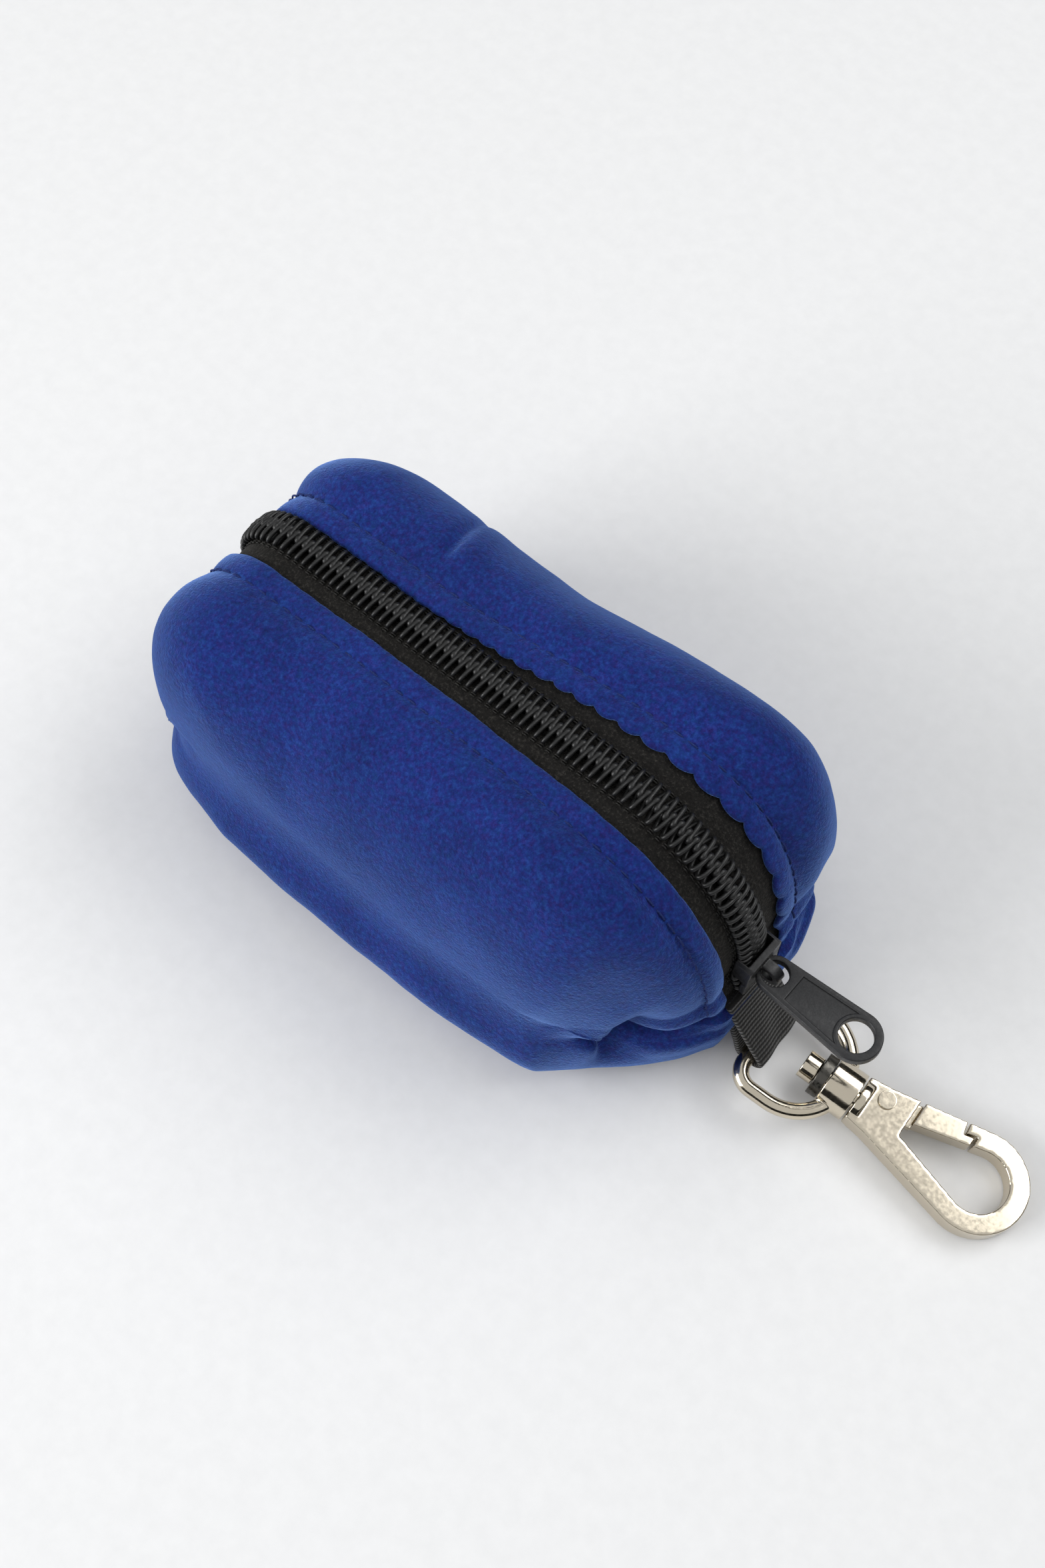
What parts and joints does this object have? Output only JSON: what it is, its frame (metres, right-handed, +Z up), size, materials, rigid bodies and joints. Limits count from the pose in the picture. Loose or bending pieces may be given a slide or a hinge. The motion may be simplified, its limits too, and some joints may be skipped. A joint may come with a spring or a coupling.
{
  "type": "zip pouch",
  "caption": "Small padded velvet pouch with a curved coil zip, a puller, a webbing tab and a swivel snap hook for clipping it to a lead or bag.",
  "frame": {"origin": "on the floor under the pouch, on its middle line, 53 mm in from the slider end", "axes": "+X along the zip towards the slider, tab and hook; +Y across the pouch; +Z up"},
  "size_m": [0.1615, 0.062, 0.0534],
  "materials": {
    "velvet": "short-pile velvet, royal blue",
    "wadding": "loose wadding",
    "lining": "plain woven lining",
    "zip_tape": "woven polyester tape",
    "zip_coil": "nylon coil, slight sheen",
    "thread": "sewing thread",
    "slider_paint": "black satin paint on die casting",
    "webbing": "ribbed black webbing",
    "hook_metal": "pale warm plated casting, polished",
    "dark_washer": "dark washer"
  },
  "bodies": {
    "pouch": {"outer_panel_left": "velvet", "outer_panel_right": "velvet", "wadding_left": "wadding", "wadding_right": "wadding", "lining_left": "lining", "lining_right": "lining", "tape_left": "zip_tape", "tape_right": "zip_tape", "coil_left": "zip_coil", "coil_right": "zip_coil", "topstitch_left": "thread", "topstitch_right": "thread"},
    "left_lip": {"lip_panel_left": "velvet", "lip_wadding_left": "wadding", "lip_lining_left": "lining", "lip_tape_left": "zip_tape", "lip_coil_left": "zip_coil", "lip_topstitch_left": "thread"},
    "right_lip": {"lip_panel_right": "velvet", "lip_wadding_right": "wadding", "lip_lining_right": "lining", "lip_tape_right": "zip_tape", "lip_coil_right": "zip_coil", "lip_topstitch_right": "thread"},
    "slider": {"slider_body": "slider_paint"},
    "puller": {"puller_plate": "slider_paint"},
    "tab": {"webbing_tab": "webbing"},
    "eye": {"swivel_eye": "hook_metal"},
    "hook": {"hook_frame": "hook_metal", "swivel_post": "hook_metal", "swivel_washer": "dark_washer", "gate_rivet": "hook_metal", "gate_spring": "hook_metal"},
    "gate": {"gate_lever": "hook_metal"}
  },
  "joints": [
    {"name": "slider_travel", "type": "hinge", "parent": "pouch", "child": "slider", "pos_m": [0.0242, 0, 0.025], "axis": [0, -1, 0], "range_deg": [0, 102], "deforming": ["tape_left", "tape_right", "coil_left", "coil_right", "lip_tape_left", "lip_tape_right", "lip_coil_left", "lip_coil_right"]},
    {"name": "left_lip_open", "type": "hinge", "parent": "pouch", "child": "left_lip", "pos_m": [0.0365, -0.0308, 0.0365], "axis": [0.7071, 0, -0.7071], "range_deg": [0, 46]},
    {"name": "right_lip_open", "type": "hinge", "parent": "pouch", "child": "right_lip", "pos_m": [0.0365, 0.0308, 0.0365], "axis": [-0.7071, 0, 0.7071], "range_deg": [0, 46]},
    {"name": "puller_swing", "type": "hinge", "parent": "slider", "child": "puller", "pos_m": [0.05381, 0, 0.02477], "axis": [0, -1, 0], "range_deg": [-30, 71]},
    {"name": "tab_bend", "type": "hinge", "parent": "pouch", "child": "tab", "pos_m": [0.0516, -0.0015, 0.0175], "axis": [0, -1, 0], "range_deg": [0, 25]},
    {"name": "eye_swing", "type": "hinge", "parent": "tab", "child": "eye", "pos_m": [0.05697, -0.00221, 0.00581], "axis": [0.0872, -0.9962, 0], "range_deg": [0, 35]},
    {"name": "hook_swivel", "type": "hinge", "parent": "eye", "child": "hook", "pos_m": [0.0742, -0.0007, 0.00445], "axis": [0.9931, 0.0869, -0.0785], "continuous": true},
    {"name": "gate_open", "type": "hinge", "parent": "hook", "child": "gate", "pos_m": [0.07828, 0.00187, 0.00411], "axis": [-0.0782, -0.0068, -0.9969], "range_deg": [0, 20], "stiffness_Nm_per_rad": 0.01, "springref_deg": -28.65, "deforming": ["gate_spring"]}
  ],
  "couplings": [
    {"joint": "left_lip_open", "follows": "slider_travel", "ratio": 0.45},
    {"joint": "right_lip_open", "follows": "slider_travel", "ratio": 0.45}
  ]
}
